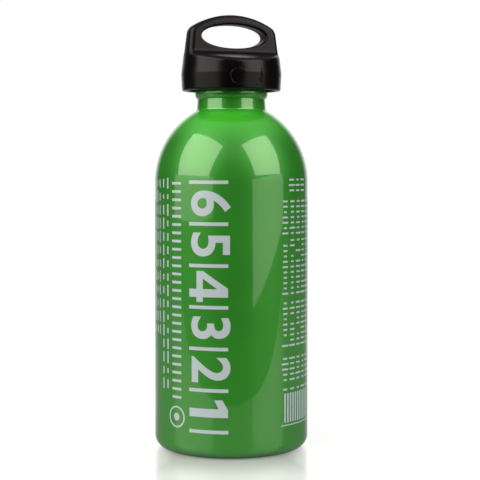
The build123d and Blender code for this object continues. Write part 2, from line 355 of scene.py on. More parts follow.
def finish_of(paint, colours, *others):
    """The material that this function paints and that has its name, made on its first use."""
    made = bpy.data.materials.get(paint.__name__)
    if made is None:
        made = bpy.data.materials.new(paint.__name__)
        made.use_nodes = True
        made.node_tree.nodes.clear()
        put(made.node_tree, "ShaderNodeOutputMaterial", {"Surface": paint(made.node_tree, colours, *others)})
    return made


def green_lacquer(tree, colours):
    """Gloss over flaked green, which is worn off at the foot and the rim; the brighter band below the neck is a
    painted highlight.
    """
    place = object_place(tree)
    x, y, z = split(place)
    radius = (x * x + y * y).math("SQRT")
    flake = noise(place, 2600.0, 1.0, 0.6)
    thick = ramp(noise(place, 26.0, 3.0, 0.55), 0.35, 0.68)
    flecked = (thick * 0.6).math("ADD", flake * 0.35, clamp=True)
    green = blend(flecked, shade(colours.lacquer), shade(colours.lacquer_shade))
    # Painted highlight: a brighter green band on the shoulder just below the neck, standing in for the top light.
    painted_highlight_below_neck = ramp(z, 143.0 * MM, 158.0 * MM) * ramp(z, 161.5 * MM, 158.5 * MM)
    green = blend(painted_highlight_below_neck, green, shade(colours.lacquer_painted_highlight))
    grain = noise(place, 900.0, 4.0, 0.7)
    foot = ramp(z, 1.1 * MM, 0.15 * MM) * ramp(radius, 28.3 * MM, 28.8 * MM) * ramp(radius, 33.2 * MM, 31.4 * MM)
    rim = ramp(z, 171.2 * MM, 171.5 * MM)
    bare = (foot * ramp(grain, 0.42, 0.56)).math("MAXIMUM", rim * ramp(grain, 0.3, 0.5))
    peel = bump(noise(place, 420.0, 2.0, 0.4), 0.1, 0.02 * MM)
    waves = bump(noise(place, 60.0, 1.0, 0.3), 0.12, 0.12 * MM, peel)
    inputs = {
        "Base Color": blend(bare, green, shade(colours.aluminium)),
        "Metallic": bare * 0.6 + 0.35,
        "Roughness": flake * 0.08 + 0.36,
        "Normal": bump(flake, 0.25, 0.01 * MM, waves),
        "Coat Weight": 1.0,
        "Coat Roughness": 0.035,
        "Coat IOR": 1.6,
        "Coat Normal": waves,
    }
    return wire(tree, "ShaderNodeBsdfPrincipled", inputs)


def turned_aluminium(tree, colours):
    """Bare metal with the fine rings of turning."""
    place = object_place(tree)
    rings = noise(place, 1.0, 3.0, 0.6, stretch=(60.0, 60.0, 5200.0))
    cloud = ramp(noise(place, 300.0, 3.0, 0.6), 0.3, 0.8)
    inputs = {
        "Base Color": blend(cloud, shade(colours.aluminium), shade(colours.aluminium, 0.82)),
        "Metallic": 1.0,
        "Roughness": rings * 0.2 + 0.24,
        "Normal": bump(rings, 0.2, 0.02 * MM),
    }
    return wire(tree, "ShaderNodeBsdfPrincipled", inputs)


def silver_ink(tree, colours):
    """Screen-printed ink, rubbed thin in places."""
    place = object_place(tree)
    screen = noise(place, 1500.0, 2.0, 0.5)
    rubbed = ramp(noise(place, 240.0, 5.0, 0.75), 0.62, 0.8, 0.0, 0.55)
    inputs = {
        "Base Color": blend(rubbed, shade(colours.ink), shade(colours.ink, 0.55)),
        "Metallic": 0.15,
        "Roughness": screen * 0.12 + 0.3,
        "Normal": bump(screen, 0.2, 0.01 * MM),
    }
    return wire(tree, "ShaderNodeBsdfPrincipled", inputs)


def moulded_black_plastic(tree, colours):
    """Half-gloss plastic, duller on the loop than on the drum, scuffed at the top and the lower edge."""
    place = object_place(tree)
    z = split(place)[2]
    handled = ramp(z, 198.0 * MM, 205.0 * MM).math("MAXIMUM", ramp(z, 170.6 * MM, 169.5 * MM))
    scratches = ramp(noise(place, 700.0, 2.0, 0.8, stretch=(1.0, 0.16, 1.6)), 0.6, 0.74)
    scuffed = scratches * (handled * 0.5 + 0.12)
    dull = ramp(z, 184.5 * MM, 186.5 * MM, 0.2, 0.31)
    sink = bump(noise(place, 75.0, 1.0, 0.3), 0.15, 0.2 * MM)
    inputs = {
        "Base Color": blend(scuffed, shade(colours.cap), shade(colours.cap, 4.0, 0.006)),
        "Roughness": scuffed * 0.3 + noise(place, 130.0, 3.0, 0.6) * 0.09 + dull,
        "Normal": bump(noise(place, 2400.0, 2.0, 0.55), 0.12, 0.02 * MM, sink),
        "Specular IOR Level": 0.24,
        "Specular Tint": (0.96, 0.83, 1.0, 1.0),
    }
    return wire(tree, "ShaderNodeBsdfPrincipled", inputs)


def matte_black_plastic(tree, colours):
    place = object_place(tree)
    cloud = noise(place, 260.0, 3.0, 0.6)
    inputs = {
        "Base Color": blend(ramp(cloud, 0.4, 0.75), shade(colours.plug), shade(colours.plug, 1.9)),
        "Roughness": cloud * 0.2 + 0.36,
        "Normal": bump(noise(place, 3000.0, 3.0, 0.6), 0.3, 0.02 * MM),
    }
    return wire(tree, "ShaderNodeBsdfPrincipled", inputs)


def seal_rubber(tree, colours):
    """Rubber with a paler bloom."""
    place = object_place(tree)
    grain = noise(place, 2200.0, 4.0, 0.65)
    bloom = ramp(noise(place, 500.0, 3.0, 0.7), 0.55, 0.75)
    inputs = {
        "Base Color": blend(bloom, shade(colours.rubber), shade(colours.rubber, 2.6)),
        "Roughness": grain * 0.2 + 0.55,
        "Normal": bump(grain, 0.4, 0.03 * MM),
    }
    return wire(tree, "ShaderNodeBsdfPrincipled", inputs)


def drawn_steel_wire(tree, colours):
    streak = noise(object_place(tree), 1.0, 3.0, 0.6, stretch=(400.0, 400.0, 6000.0))
    inputs = {
        "Base Color": blend(streak, shade(colours.spring), shade(colours.spring, 0.7)),
        "Metallic": 1.0,
        "Roughness": streak * 0.2 + 0.18,
        "Normal": bump(streak, 0.2, 0.01 * MM),
    }
    return wire(tree, "ShaderNodeBsdfPrincipled", inputs)


def studio_floor(tree, colours, studio, right):
    """A pale floor that is lit a little from within; that glow is cut close to the bottle and at its sides, a
    painted shadow over the real one.
    """
    place = object_place(tree)
    x, y, _ = split(place)
    cloud = ramp(noise(place, 9.0, 3.0, 0.5), 0.3, 0.7)
    side = wire(tree, "ShaderNodeVectorMath", {0: place, 1: tuple(right)}, output="Value", operation="DOT_PRODUCT")
    # Masks that cut the floor's glow near the bottle: a painted shadow.
    beside = ramp(side.math("ABSOLUTE"), 24.0 * MM, 36.0 * MM)
    around = ramp((x * x + y * y).math("SQRT"), 36.0 * MM, 75.0 * MM)
    light = beside.math("MAXIMUM", around) * (studio.floor_lift - studio.floor_shade) + studio.floor_shade
    mirrored = ray(tree, "Is Glossy Ray").math("MAXIMUM", ray(tree, "Is Transmission Ray")) * studio.floor_glow
    seen = ray(tree, "Is Camera Ray").math("MAXIMUM", mirrored)
    tone = blend(cloud, shade(colours.floor), shade(colours.floor, 0.985))
    sheet = wire(tree, "ShaderNodeBsdfPrincipled", {"Base Color": tone, "Roughness": 0.2, "IOR": 1.9})
    glow = wire(tree, "ShaderNodeEmission", {"Strength": seen * light})
    return wire(tree, "ShaderNodeAddShader", {0: sheet, 1: glow})


def turned_profile(tree, given):
    """Turns a flat profile of edges round the Z axis: X is the radius less one metre, Y is minus the level."""
    profile = wire(tree, "GeometryNodeMeshToCurve", {0: given["Mesh"]})
    circle = wire(tree, "GeometryNodeCurvePrimitiveCircle", {"Resolution": given["Segments"], "Radius": 1.0})
    upright = wire(tree, "GeometryNodeSetCurveNormal", {"Curve": circle}, mode="Z_UP")
    swept = wire(tree, "GeometryNodeCurveToMesh", {"Curve": upright, "Profile Curve": profile})
    merged = wire(tree, "GeometryNodeMergeByDistance", {"Geometry": swept, "Distance": SEAM})
    return wire(tree, "GeometryNodeSetShadeSmooth", {0: merged, "Shade Smooth": True})


def screw_thread(tree, given):
    """Winds a straight ridge into a right-handed screw thread that fades out at both ends and at two vents."""
    ridge = wire(tree, "GeometryNodeMeshCube", {"Size": (1.0, 1.0, 1.0), "Vertices X": given["Steps"]})
    x, y, z = position(tree)
    turned = (x + 0.5) * given["Turns"]
    angle = turned * math.tau + given["Start Angle"]
    fade = turned.math("MINIMUM", given["Turns"] - turned).math("DIVIDE", given["Run Out"], clamp=True)
    fade = fade * (fade * -1.0 + 2.0)
    across = angle.math("SINE").math("ABSOLUTE") * given["Root Radius"]
    vent = ramp(across, given["Vent Width"] * 0.42, given["Vent Width"] * 0.5)
    crest = z.math("GREATER_THAN", 0.0)
    stand = crest * (given["Depth"] * (fade * vent))
    sunk = (crest * -1.0 + 1.0) * (given["Depth"] * -0.15)
    radius = given["Root Radius"] + (stand + sunk)
    width = given["Root Width"] - crest * (given["Root Width"] - given["Crest Width"])
    level = given["Start Level"] + turned * given["Lead"] + y * width
    return moved(ridge, radius * angle.math("COSINE"), radius * angle.math("SINE"), level)


def wound_coil(tree, given):
    """Winds a round wire into an open right-handed coil round the axis."""
    path = {
        "Resolution": given["Steps"], "Rotations": given["Turns"], "Height": given["Rise"],
        "Start Radius": given["Coil Radius"], "End Radius": given["Coil Radius"], "Reverse": True,
    }
    line = wire(tree, "GeometryNodeCurveSpiral", path)
    section = wire(tree, "GeometryNodeCurvePrimitiveCircle", {"Resolution": 20, "Radius": given["Wire Radius"]})
    coil = wire(tree, "GeometryNodeCurveToMesh", {"Curve": line, "Profile Curve": section, "Fill Caps": True})
    lift = vector(tree, 0.0, 0.0, given["Start Level"])
    return wire(tree, "GeometryNodeTransform", {"Geometry": coil, "Translation": lift})


def ring_of_teeth(tree, given):
    """Sets copies of a tooth evenly round the axis."""
    points = wire(tree, "GeometryNodeMeshLine", {"Count": given["Count"], "Offset": (0.0, 0.0, 0.0)})
    step = wire(tree, "ShaderNodeMath", {0: math.tau, 1: given["Count"]}, operation="DIVIDE")
    angle = wire(tree, "GeometryNodeInputIndex") * step
    teeth = {"Points": points, "Instance": given["Mesh"], "Rotation": vector(tree, 0.0, 0.0, angle)}
    return wire(tree, "GeometryNodeInstanceOnPoints", teeth)


def wrapped_ink(tree, given, flat=None):
    """Lays flat ink on the body: X goes round it from the given direction, Y is the level, Z stands off it."""
    x, y, z = position(tree)
    over = (y - given["Shoulder Level"]).math("MAXIMUM", 0.0)
    reach = (given["Shoulder Radius"].math("POWER", 2.0) - over.math("POWER", 2.0)).math("SQRT")
    radius = given["Body Radius"] + reach - given["Shoulder Radius"] + z
    return bent(flat or given["Mesh"], x / given["Body Radius"] + given["Direction"], radius, y)


def raised_marks(tree, given):
    """Bends a flat mark round the cap's skirt, which narrows above and below its crease."""
    x, y, z = position(tree)
    over = y - given["Crease Level"]
    above = over.math("MAXIMUM", 0.0) * given["Upper Slope"]
    below = over.math("MINIMUM", 0.0) * given["Lower Slope"]
    radius = given["Crease Radius"] + below - above + z
    return bent(given["Mesh"], x / given["Crease Radius"] + given["Direction"], radius, y)


def broken_rules(tree, given):
    """Prints a block of broken rules on the body: lines across, each cut into dashes of uneven, seeded length."""
    total = given["Line Count"] * given["Dash Count"]
    points = wire(tree, "GeometryNodeMeshLine", {"Count": total, "Offset": (0.0, 0.0, 0.0)})
    index = wire(tree, "GeometryNodeInputIndex")
    line = ((index + 0.5) / given["Dash Count"]).math("FLOOR")
    dash = index - line * given["Dash Count"]
    across = (dash - (given["Dash Count"] - 1.0) * 0.5) * given["Dash Pitch"]
    length_share = random_share(index, given["Shortest"], given["Longest"], given["Seed"])
    size = (length_share * given["Dash Pitch"], given["Dash Width"], given["Ink Lift"] + given["Ink Sink"])
    cuts = {"Size": (1.0, 1.0, 1.0), "Vertices X": 4, "Vertices Y": 2, "Vertices Z": 2}
    inputs = {
        "Points": moved(points, across, line * given["Line Pitch"], 0.0),
        "Selection": random_share(index, 0.0, 1.0, given["Seed"] + 11.0).math("LESS_THAN", given["Kept"]),
        "Instance": wire(tree, "GeometryNodeMeshCube", cuts),
        "Scale": vector(tree, *size),
    }
    dashes = wire(tree, "GeometryNodeInstanceOnPoints", inputs)
    real = wire(tree, "GeometryNodeRealizeInstances", {"Geometry": dashes})
    x, y, z = position(tree)
    cosine, sine = given["Turned"].math("COSINE"), given["Turned"].math("SINE")
    level = x * sine + y * cosine + given["Foot Level"]
    middle_lift = (given["Ink Lift"] - given["Ink Sink"]) * 0.5
    return wrapped_ink(tree, given, moved(real, x * cosine - y * sine, level, z + middle_lift))


def position(tree):
    return split(wire(tree, "GeometryNodeInputPosition"))


def vector(tree, *parts):
    return wire(tree, "ShaderNodeCombineXYZ", dict(enumerate(parts)))


def moved(geometry, *parts):
    """Moves points to the place that these three parts give."""
    place = vector(geometry.tree, *parts)
    return wire(geometry.tree, "GeometryNodeSetPosition", {"Geometry": geometry, "Position": place})


def bent(geometry, angle, radius, level):
    """Moves points round the axis, the angle counted from -Y towards +X."""
    return moved(geometry, radius * angle.math("SINE"), radius * angle.math("COSINE") * -1.0, level)


def random_share(index, low, high, seed):
    inputs = {2: low, 3: high, "ID": index, "Seed": seed}
    return wire(index.tree, "FunctionNodeRandomValue", inputs, output=1, data_type="FLOAT")


def new_geometry_tree(build, values):
    """The builder's tree, with an input for each value. It ends in Realize Instances and Set Material."""
    tree = bpy.data.node_groups.new(build.__name__, "GeometryNodeTree")
    tree.interface.new_socket("Mesh", in_out="INPUT", socket_type="NodeSocketGeometry")
    for label, value in values.items():
        kind = {int: "Int", float: "Float"}.get(type(value), "Material")
        tree.interface.new_socket(label, in_out="INPUT", socket_type=f"NodeSocket{kind}")
    tree.interface.new_socket("Mesh", in_out="OUTPUT", socket_type="NodeSocketGeometry")
    given = {output.name: Wire(tree, output) for output in put(tree, "NodeGroupInput").outputs}
    real = wire(tree, "GeometryNodeRealizeInstances", {"Geometry": build(tree, given)})
    painted = wire(tree, "GeometryNodeSetMaterial", {"Geometry": real, "Material": given["Material"]})
    put(tree, "NodeGroupOutput", {"Mesh": painted})
    return tree


def grown(build, values, mesh=None):
    """Runs the builder's geometry tree on a mesh, with its inputs set by name, and gives the plain mesh."""
    tree = bpy.data.node_groups.get(build.__name__) or new_geometry_tree(build, values)
    base = mesh or bpy.data.meshes.new("seed_mesh")
    carrier = bpy.data.objects.new("carrier", base)
    modifier = carrier.modifiers.new("grow", "NODES")
    modifier.node_group = tree
    labels = {item.name: item.identifier for item in tree.interface.items_tree if item.in_out == "INPUT"}
    for label, value in values.items():
        modifier[labels[label]] = value
    made = plain_mesh(carrier)
    bpy.data.meshes.remove(base)
    if not made.polygons:
        raise RuntimeError(f"{tree.name} made no faces")
    return made


def plain_mesh(carrier):
    """The mesh of an object with its modifiers run; the object is removed."""
    bpy.context.scene.collection.objects.link(carrier)
    evaluated = carrier.evaluated_get(bpy.context.evaluated_depsgraph_get())
    made = bpy.data.meshes.new_from_object(evaluated)
    bpy.data.objects.remove(carrier)
    return made


def arc(middle, radius, start, end, count):
    """Points on an arc, angles in degrees."""
    angles = [math.radians(start + (end - start) * step / count) for step in range(count + 1)]
    return [(middle[0] + radius * math.cos(angle), middle[1] + radius * math.sin(angle)) for angle in angles]


def run(start, end, count):
    """Points between two points, the end points left out."""
    between = [step / count for step in range(1, count)]
    return [tuple(a + (b - a) * share for a, b in zip(start, end)) for share in between]


def turned(points, segments, material):
    """Turns profile points round the axis."""
    clean = [points[0]]
    for point in points[1:]:
        if math.dist(point, clean[-1]) > NEAREST:
            clean.append(point)
    closed = math.dist(clean[0], clean[-1]) < CLOSING
    if closed:
        clean.pop()
    edges = [(index, index + 1) for index in range(len(clean) - 1)]
    if closed:
        edges.append((len(clean) - 1, 0))
    profile = bpy.data.meshes.new("profile")
    profile.from_pydata([(radius - 1.0, -level, 0.0) for radius, level in clean], edges, [])
    return grown(turned_profile, {"Segments": segments, "Material": material}, profile)


def is_closed(shape):
    return all(len(edge.link_faces) == 2 for edge in shape.edges)


def face_outwards(shape):
    if shape.calc_volume(signed=True) < 0.0:
        bmesh.ops.reverse_faces(shape, faces=shape.faces)


def joined(name, meshes, materials):
    """Joins meshes into one closed, named object at the origin. Each mesh has its own material or the last one."""
    whole = bmesh.new()
    for index, mesh in enumerate(meshes):
        shape = bmesh.new()
        shape.from_mesh(mesh)
        bmesh.ops.remove_doubles(shape, verts=shape.verts, dist=WELD)
        if is_closed(shape):
            face_outwards(shape)
        for face in shape.faces:
            face.material_index = min(index, len(materials) - 1)
            face.smooth = True
        shape.to_mesh(mesh)
        shape.free()
        whole.from_mesh(mesh)
        bpy.data.meshes.remove(mesh)
    if any(len(edge.link_faces) == 1 for edge in whole.edges):
        bmesh.ops.remove_doubles(whole, verts=whole.verts, dist=SEAM)
        face_outwards(whole)
    if not is_closed(whole):
        raise RuntimeError(f"{name} has an open or doubled edge")
    for edge in whole.edges:
        edge.smooth = edge.calc_face_angle(0.0) < SHARP
    return placed(name, whole, materials)


def placed(name, shape, materials):
    """Makes a named object at the origin from a shape, which is freed."""
    mesh = bpy.data.meshes.new(name)
    shape.to_mesh(mesh)
    shape.free()
    for material in materials:
        mesh.materials.append(material)
    made = bpy.data.objects.new(name, mesh)
    bpy.context.scene.collection.objects.link(made)
    return made


def block(near, far):
    """A closed shape between two outlines with as many corners."""
    shape = bmesh.new()
    first, second = ([shape.verts.new(place) for place in outline] for outline in (near, far))
    shape.faces.new(first)
    shape.faces.new(second[::-1])
    for index in range(len(near)):
        after = (index + 1) % len(near)
        shape.faces.new((first[after], first[index], second[index], second[after]))
    return shape


def cut_fine(mesh, axis=0):
    """Cuts a flat mesh into strips along an axis so that it can be bent."""
    shape = bmesh.new()
    shape.from_mesh(mesh)
    places = [vertex.co[axis] for vertex in shape.verts]
    low, high = min(places), max(places)
    along = Vector([float(index == axis) for index in range(3)])
    for cut in range(1, int((high - low) / STRIP) + 1):
        whole = shape.verts[:] + shape.edges[:] + shape.faces[:]
        middle = along * (low + cut * STRIP)
        bmesh.ops.bisect_plane(shape, geom=whole, dist=ON_CUT, plane_co=middle, plane_no=along)
    bmesh.ops.triangulate(shape, faces=[face for face in shape.faces if len(face.verts) > 4])
    shape.to_mesh(mesh)
    shape.free()
    return mesh


def flat_shape(loops, low, high, rounding=0.0):
    """A flat closed plate from outlines, its edges rounded; an outline inside another is a hole."""
    curve = bpy.data.curves.new("outline", "CURVE")
    curve.dimensions = "2D"
    curve.fill_mode = "BOTH"
    curve.extrude = (high - low) / 2 - rounding
    curve.bevel_depth = rounding
    curve.bevel_resolution = 2
    curve.offset = -rounding
    for loop in loops:
        spline = curve.splines.new("POLY")
        spline.points.add(len(loop) - 1)
        for point, (x, y) in zip(spline.points, loop):
            point.co = (x, y, 0.0, 1.0)
        spline.use_cyclic_u = True
    return plate(curve, low, high)


# Plain outlines of the numerals that the built-in font draws too thin, one unit tall.
NUMERAL_MIDDLE = (0.38, 0.5)
DRAWN_NUMERALS = {
    "1": ([(0.32, 0.0), (0.53, 0.0), (0.53, 1.0), (0.34, 1.0), (0.1, 0.86), (0.1, 0.66), (0.32, 0.77)],),
    "4": (
        [
            (0.44, 0.0), (0.64, 0.0), (0.64, 0.2), (0.76, 0.2), (0.76, 0.37), (0.64, 0.37),
            (0.64, 1.0), (0.42, 1.0), (0.0, 0.38), (0.0, 0.2), (0.44, 0.2),
        ],
        [(0.18, 0.37), (0.44, 0.37), (0.44, 0.74)],
    ),
}

# The built-in font's numerals have this height at size 1, and are made bolder by this share of their height.
FONT_HEIGHT = 0.73
FONT_BOLDER = 0.026


def flat_numeral(text, height, low, high):
    """A plain bold numeral, its middle at the origin."""
    if text in DRAWN_NUMERALS:
        x_middle, y_middle = NUMERAL_MIDDLE
        loops = [
            [((x - x_middle) * height, (y - y_middle) * height) for x, y in loop] for loop in DRAWN_NUMERALS[text]
        ]
        return flat_shape(loops, low, high)
    curve = bpy.data.curves.new("numeral", "FONT")
    curve.body = text
    curve.align_x = "CENTER"
    curve.align_y = "CENTER"
    curve.size = height / FONT_HEIGHT
    curve.offset = height * FONT_BOLDER
    curve.extrude = (high - low) / 2
    curve.resolution_u = 6
    return plate(curve, low, high)


def plate(curve, low, high):
    """The welded mesh of a curve, lifted to lie between two levels."""
    mesh = plain_mesh(bpy.data.objects.new("carrier", curve))
    bpy.data.curves.remove(curve)
    shape = bmesh.new()
    shape.from_mesh(mesh)
    bmesh.ops.remove_doubles(shape, verts=shape.verts, dist=WELD)
    shape.to_mesh(mesh)
    shape.free()
    mesh.transform(Matrix.Translation((0.0, 0.0, (low + high) / 2)))
    return mesh


def circle_loop(middle, radius):
    return arc(middle, radius, 0.0, 360.0, 48)[:-1]


def box_loop(middle, width, height):
    corners = ((-0.5, -0.5), (0.5, -0.5), (0.5, 0.5), (-0.5, 0.5))
    return [(middle[0] + x * width, middle[1] + y * height) for x, y in corners]


def base_dome(sizes):
    """The base dome's radius, and the angle from its middle to the foot in degrees."""
    radius = (sizes.foot_inner ** 2 + sizes.dome_rise ** 2) / (2 * sizes.dome_rise)
    return radius, math.degrees(math.asin(sizes.foot_inner / radius))


def shell_outside(sizes):
    """The lacquered outside, from the middle of the base dome to the rim's inner edge."""
    dome, end = base_dome(sizes)
    points = arc((0.0, sizes.dome_rise - dome), dome, 90.0, 90.0 - end * 0.995, 26)
    side, corner_radius = sizes.lacquer_radius, sizes.corner_radius
    foot = (sizes.foot_inner + sizes.foot_edge, 0.0)
    points += [foot] + run(foot, (side - corner_radius, 0.0), 3)
    points += arc((side - corner_radius, corner_radius), corner_radius, -90.0, 0.0, 22)
    points += run((side, corner_radius), (side, sizes.shoulder_level), 26)

    middle = (side - sizes.shoulder_radius, sizes.shoulder_level)
    fillet = sizes.neck_fillet
    hollow_x = sizes.neck_radius + sizes.neck_draft + fillet
    hollow_z = middle[1] + math.sqrt((sizes.shoulder_radius + fillet) ** 2 - (hollow_x - middle[0]) ** 2)
    lean = math.degrees(math.atan2(hollow_z - middle[1], hollow_x - middle[0]))
    points += arc(middle, sizes.shoulder_radius, 0.0, lean, 44)
    points += arc((hollow_x, hollow_z), fillet, lean - 180.0, -180.0, 8)

    bead, radius = (sizes.bead_middle, sizes.bead_level), sizes.bead_radius
    neck_top = sizes.neck_radius - sizes.neck_draft
    start = -math.acos((neck_top - bead[0]) / radius)
    end = math.asin((sizes.rim_level - bead[1]) / radius)
    points += run((hollow_x - fillet, hollow_z), (neck_top, bead[1] + radius * math.sin(start)), 5)
    points += arc(bead, radius, math.degrees(start), math.degrees(end), 22)
    points += [(sizes.mouth_radius + sizes.lip_edge, sizes.rim_level)]
    return points


def shell_inside(sizes):
    """The bare inside, from the rim's inner edge down to the middle of the base."""
    lip, under = sizes.lip_edge, sizes.rim_level - sizes.lip_depth
    points = arc((sizes.mouth_radius + lip, sizes.rim_level - lip), lip, 90.0, 180.0, 4)
    points += [(sizes.mouth_radius, under), (sizes.bore_radius, under)]
    middle = (sizes.lacquer_radius - sizes.shoulder_radius, sizes.shoulder_level)
    radius = sizes.shoulder_radius - sizes.wall
    lean = math.degrees(math.acos((sizes.bore_radius - middle[0]) / radius))
    points += arc(middle, radius, lean, 0.0, 30)
    corner = sizes.corner_radius - sizes.wall
    side = sizes.lacquer_radius - sizes.wall
    points += arc((side - corner, sizes.base_wall + corner), corner, 0.0, -90.0, 10)
    dome, end = base_dome(sizes)
    points += arc((0.0, sizes.base_wall + sizes.dome_rise - dome), dome, 90.0 - end, 90.0, 16)
    return points


class FUELBOTTLE_OT_shell(bpy.types.Operator):
    """Turns the lacquered bottle with its bare inside"""

    bl_idname = "fuelbottle.make_shell"
    bl_label = "Bottle Shell"

    def execute(self, context):
        sizes = context.scene.fuel_bottle_shell
        colours = context.scene.fuel_bottle_colours
        lacquer, bare = finish_of(green_lacquer, colours), finish_of(turned_aluminium, colours)
        outside = turned(shell_outside(sizes), sizes.segments, lacquer)
        inside = turned(shell_inside(sizes), sizes.segments, bare)
        piece = joined("drawn_bottle", [outside, inside], [lacquer, bare])
        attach(piece, "bottle")
        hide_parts("bottle_shell")
        return {"FINISHED"}


class FUELBOTTLE_OT_insert(bpy.types.Operator):
    """Makes the neck's threaded insert"""

    bl_idname = "fuelbottle.make_insert"
    bl_label = "Neck Insert"

    def execute(self, context):
        sizes = context.scene.fuel_bottle_threads
        bare = finish_of(turned_aluminium, context.scene.fuel_bottle_colours)
        low, high, edge = sizes.insert_low, sizes.insert_high, sizes.insert_edge
        outer, root = sizes.insert_outer, sizes.insert_root
        points = [
            (root, high - edge), (root + edge, high), (outer - edge, high), (outer, high - edge),
            (outer, low + edge), (outer - edge, low), (root + edge, low), (root, low + edge), (root, high - edge),
        ]
        turns = (high - low - 2 * sizes.insert_inset) / sizes.lead
        ridge = {
            "Turns": turns, "Lead": sizes.lead, "Root Radius": root, "Depth": -sizes.insert_depth,
            "Root Width": sizes.insert_root_width, "Crest Width": sizes.insert_crest_width,
            "Start Level": low + sizes.insert_inset, "Start Angle": sizes.start_angle,
            "Run Out": sizes.run_out, "Vent Width": -1.0,
            "Steps": int(turns * sizes.insert_steps), "Material": bare,
        }
        meshes = [turned(points, sizes.segments, bare), grown(screw_thread, ridge)]
        piece = joined("neck_thread_insert", meshes, [bare])
        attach(piece, "bottle")
        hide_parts("neck_insert")
        return {"FINISHED"}


def dress(node, material):
    """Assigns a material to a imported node's slots."""
    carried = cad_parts[node]
    if not carried.data.materials:
        carried.data.materials.append(material)
    for slot in carried.material_slots:
        slot.material = material


class FUELBOTTLE_OT_gasket(bpy.types.Operator):
    """Gives the sealing gasket its rubber"""

    bl_idname = "fuelbottle.dress_gasket"
    bl_label = "Gasket"

    def execute(self, context):
        dress("plug_gasket", finish_of(seal_rubber, context.scene.fuel_bottle_colours))
        return {"FINISHED"}


def plug_profile(sizes):
    """The plug from the middle of its hollow's roof, round shank and flange, to the middle of the spigot."""
    foot, core, bore, edge = PLUG_LOW.z, sizes.shank_core, sizes.shank_bore, sizes.plug_edge
    low, high, rim = sizes.flange_low, sizes.flange_high, sizes.flange_radius
    roof = low - sizes.shank_roof
    points = [(0.0, roof)] + arc((bore - edge, roof - edge), edge, 90.0, 0.0, 4)
    points += [(bore, foot + edge), (bore + edge, foot), (core - edge, foot), (core, foot + edge)]
    points += run((core, foot + edge), (core, low), 4) + [(core, low)]
    points += arc((rim - edge, low + edge), edge, -90.0, 0.0, 5)
    points += arc((rim - edge, high - edge), edge, 0.0, 90.0, 5)
    spigot, top, round_top = sizes.spigot_radius, PLUG_HIGH.z, sizes.spigot_edge
    points += arc((spigot + edge, high + edge), edge, -90.0, -180.0, 5)
    points += arc((spigot - round_top, top - round_top), round_top, 0.0, 90.0, 6) + [(0.0, top)]
    return points


def clutch_tooth(sizes):
    """One clutch tooth with a sloped tip and eased edges, at direction zero."""
    inner, outer, half = sizes.tooth_inner, sizes.tooth_outer, sizes.tooth_width / 2
    base, top = sizes.flange_high - sizes.tooth_root, sizes.flange_high + sizes.tooth_height
    sides = [
        [(inner, side, base), (outer, side, base), (outer, side, tip), (inner, side, tip)]
        for side, tip in ((-half, top), (half, top - sizes.tooth_slope))
    ]
    shape = block(*sides)
    upper = [edge for edge in shape.edges if max(vertex.co.z for vertex in edge.verts) > sizes.flange_high]
    bmesh.ops.bevel(shape, geom=upper, offset=sizes.tooth_edge, segments=2, affect="EDGES", profile=0.5)
    mesh = bpy.data.meshes.new("clutch_tooth")
    shape.to_mesh(mesh)
    shape.free()
    return mesh


class FUELBOTTLE_OT_plug(bpy.types.Operator):
    """Makes the screw plug with its thread, vents, flange and clutch teeth"""

    bl_idname = "fuelbottle.make_plug"
    bl_label = "Threaded Plug"

    def execute(self, context):
        sizes = context.scene.fuel_bottle_threads
        black = finish_of(matte_black_plastic, context.scene.fuel_bottle_colours)
        start = PLUG_LOW.z + sizes.shank_inset
        turns = (sizes.flange_low - sizes.shank_relief - start) / sizes.lead
        gap_level = sizes.insert_low + sizes.insert_inset + sizes.lead / 2
        ridge = {
            "Turns": turns, "Lead": sizes.lead, "Root Radius": sizes.shank_core, "Depth": sizes.shank_depth,
            "Root Width": sizes.shank_root_width, "Crest Width": sizes.shank_crest_width, "Start Level": start,
            "Start Angle": sizes.start_angle + math.tau * (start - gap_level) / sizes.lead,
            "Run Out": sizes.run_out, "Vent Width": sizes.vent_width,
            "Steps": int(turns * sizes.shank_steps), "Material": black,
        }
        body = turned(plug_profile(sizes), sizes.segments, black)
        teeth = grown(ring_of_teeth, {"Count": sizes.tooth_count, "Material": black}, clutch_tooth(sizes))
        piece = joined("screw_plug", [body, grown(screw_thread, ridge), teeth], [black])
        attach(piece, "plug")
        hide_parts("threaded_plug")
        return {"FINISHED"}


class FUELBOTTLE_OT_spring(bpy.types.Operator):
    """Winds the return spring"""

    bl_idname = "fuelbottle.make_spring"
    bl_label = "Return Spring"

    def execute(self, context):
        sizes = context.scene.fuel_bottle_spring
        steel = finish_of(drawn_steel_wire, context.scene.fuel_bottle_colours)
        height = sizes.top - sizes.foot
        coil = {
            "Turns": sizes.turns, "Coil Radius": sizes.coil_radius, "Wire Radius": sizes.wire / 2,
            "Start Level": sizes.foot + sizes.wire / 2, "Rise": height - sizes.wire,
            "Steps": sizes.steps, "Material": steel,
        }
        piece = joined("wound_spring", [grown(wound_coil, coil)], [steel])
        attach(piece, "spring")
        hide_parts("return_spring")
        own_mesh(piece)
        return {"FINISHED"}


class FUELBOTTLE_OT_cap(bpy.types.Operator):
    """Gives the cap and its loop their moulded plastic"""

    bl_idname = "fuelbottle.dress_cap"
    bl_label = "Loop Cap"

    def execute(self, context):
        dress("cap_shell", finish_of(moulded_black_plastic, context.scene.fuel_bottle_colours))
        return {"FINISHED"}


# The dashes in a block of rules: their shortest and longest share of the pitch, and the share that is kept.
WHOLE = {"Shortest": 0.999, "Longest": 0.999, "Kept": 2.0}
UNEVEN = {"Shortest": 0.35, "Longest": 0.92, "Kept": 0.97}


def rules(drawn, direction, foot, width, lines, line_pitch, dashes, dash_pitch, turned_by=0.0):
    """A block of rules as its tree's inputs: directions in degrees, the foot in millimetres, sizes in metres."""
    return {
        **drawn, "Direction": math.radians(direction), "Foot Level": foot * MM, "Turned": math.radians(turned_by),
        "Dash Width": width, "Line Count": lines, "Line Pitch": line_pitch,
        "Dash Count": dashes, "Dash Pitch": dash_pitch,
    }


